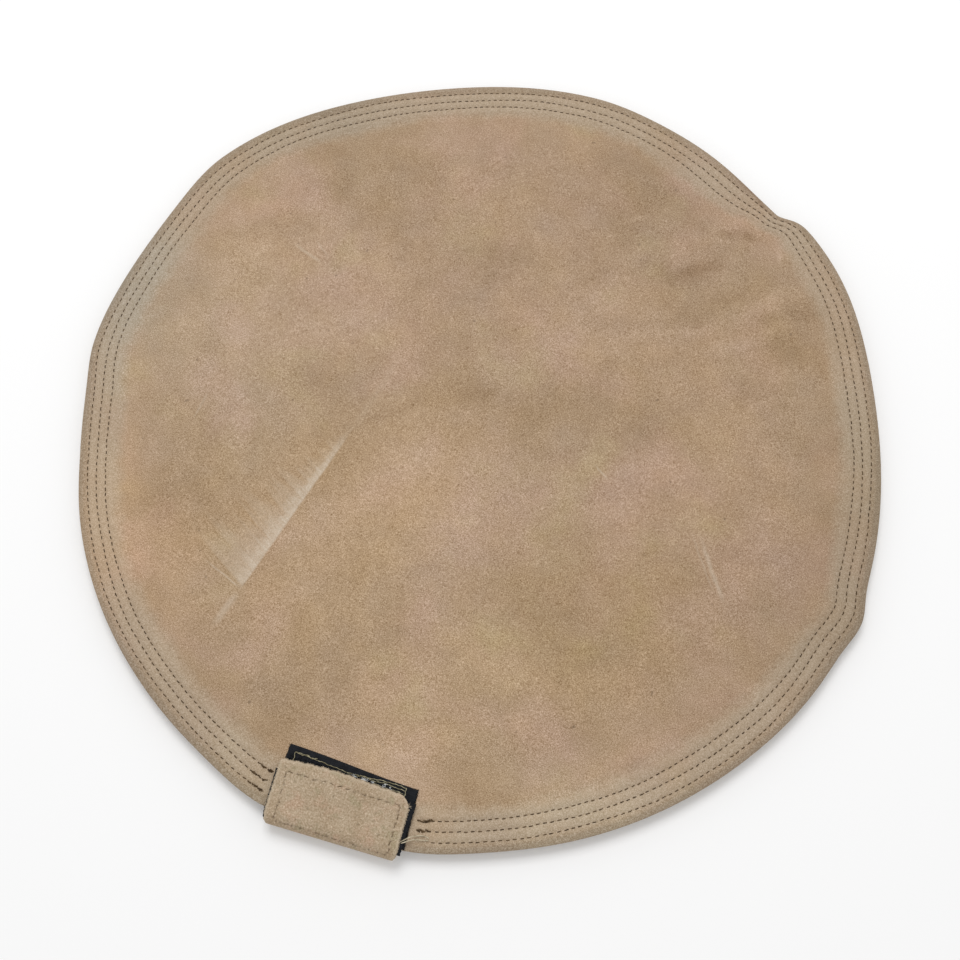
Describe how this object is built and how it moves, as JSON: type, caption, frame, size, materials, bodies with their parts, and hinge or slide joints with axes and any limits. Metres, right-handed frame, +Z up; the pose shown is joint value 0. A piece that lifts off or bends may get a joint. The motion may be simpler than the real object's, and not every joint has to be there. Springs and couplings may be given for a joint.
{
  "type": "round leather pad shell with closure flap",
  "caption": "Round sewn suede leather pad shell, triple top-stitched round its rim, with a filling mouth closed by a fold-over hook-and-loop flap.",
  "frame": {"origin": "middle of the flat underside of the back panel", "axes": "+Z up through the front panel, the mouth and flap on the -Y side, +X to the right seen from the flap"},
  "size_m": [0.4572, 0.4646, 0.0168],
  "materials": {
    "panel_suede": "napped suede",
    "flap_suede": "coarse rough-split suede",
    "brown_thread": "heavy twisted thread",
    "khaki_thread": "heavy twisted thread",
    "hook_tape": "woven tape with stiff hooks",
    "loop_tape": "woven tape with brushed loop pile"
  },
  "bodies": {
    "shell": {"front_panel": "panel_suede", "back_panel": "panel_suede", "rim_seam_thread": "brown_thread", "outer_row_needle_thread": "brown_thread", "middle_row_needle_thread": "brown_thread", "inner_row_needle_thread": "brown_thread", "outer_row_bobbin_thread": "brown_thread", "middle_row_bobbin_thread": "brown_thread", "inner_row_bobbin_thread": "brown_thread", "flap_root": "flap_suede", "flap_root_thread": "brown_thread", "face_loop_tape": "loop_tape", "face_loop_tape_thread": "khaki_thread", "thread_tails": "khaki_thread"},
    "fold": {"flap_fold": "flap_suede"},
    "flap": {"closure_flap": "flap_suede", "flap_hook_tape": "hook_tape", "flap_hook_tape_thread": "brown_thread"}
  },
  "joints": [
    {"name": "fold_bend", "type": "hinge", "parent": "shell", "child": "fold", "pos_m": [0.0006, -0.2341, 0], "axis": [0.9984, 0.0558, 0], "range_deg": [0, 90]},
    {"name": "flap_bend", "type": "hinge", "parent": "fold", "child": "flap", "pos_m": [0.0006, -0.2341, 0.0137], "axis": [0.9984, 0.0558, 0], "range_deg": [0, 90]}
  ]
}
